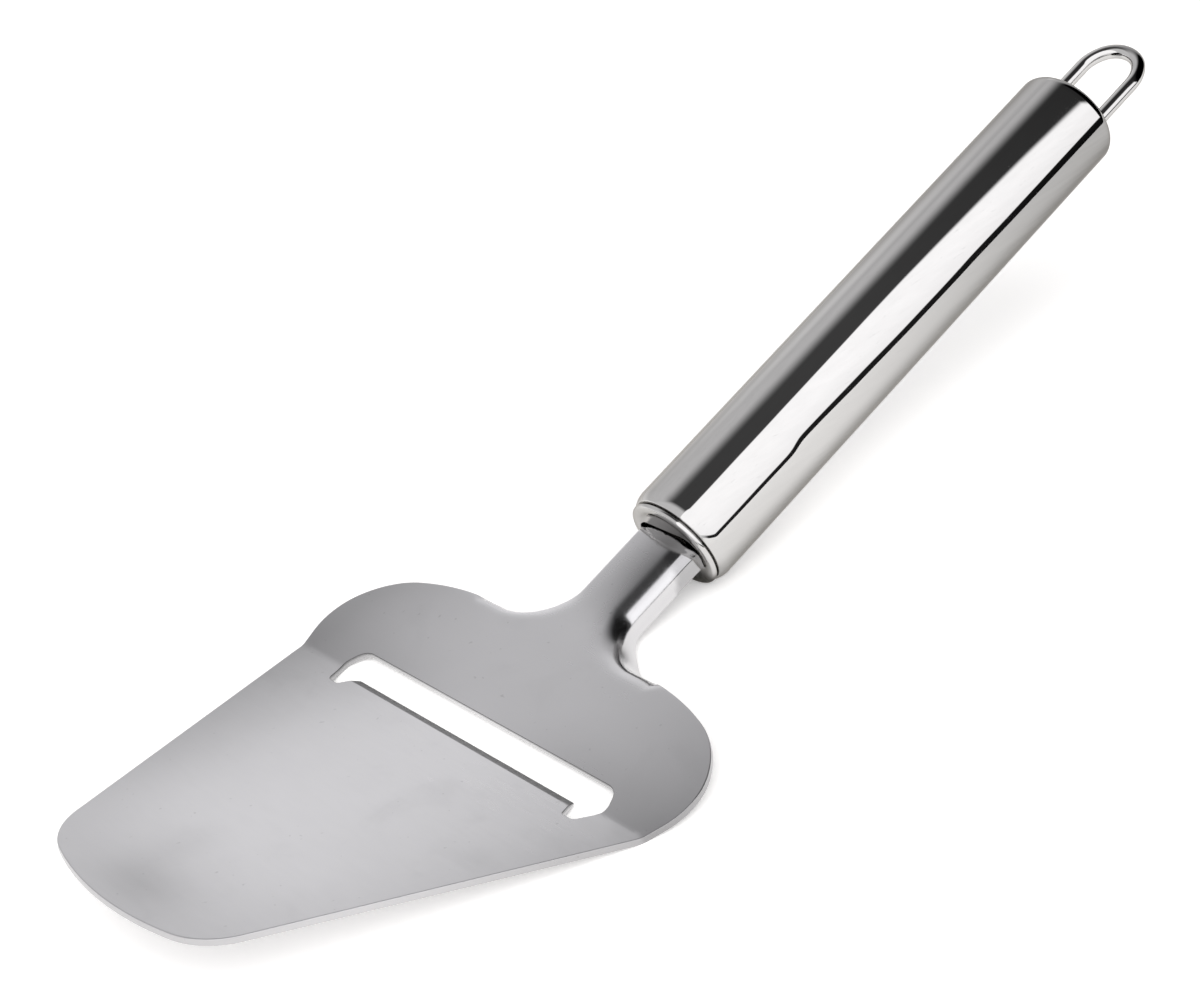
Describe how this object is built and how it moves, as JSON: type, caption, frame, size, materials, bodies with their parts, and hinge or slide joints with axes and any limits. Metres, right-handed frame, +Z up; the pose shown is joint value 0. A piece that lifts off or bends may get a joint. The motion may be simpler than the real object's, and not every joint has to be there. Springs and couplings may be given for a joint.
{
  "type": "cheese slicer",
  "caption": "Steel cheese slicer: a bent sheet blade with a slicing slot, a channel neck, a polished tubular handle and a wire hanging loop.",
  "frame": {"origin": "middle of the bounding box on the surface that the slicer rests on, lying on its crease and the front end of its handle", "axes": "+X from the blade's tip towards the hanging loop, +Y across to the left when looking along +X, +Z up from the resting surface"},
  "size_m": [0.2456, 0.0946, 0.0504],
  "materials": {
    "satin_steel": "satin",
    "polished_steel": "mirror polished",
    "weld_steel": "as welded"
  },
  "bodies": {
    "root": {"blade": "satin_steel", "handle_tube": "polished_steel", "front_cap": "polished_steel", "rear_plug": "polished_steel", "hanging_loop": "polished_steel", "tang_welds": "weld_steel", "loop_welds": "weld_steel"}
  },
  "joints": []
}
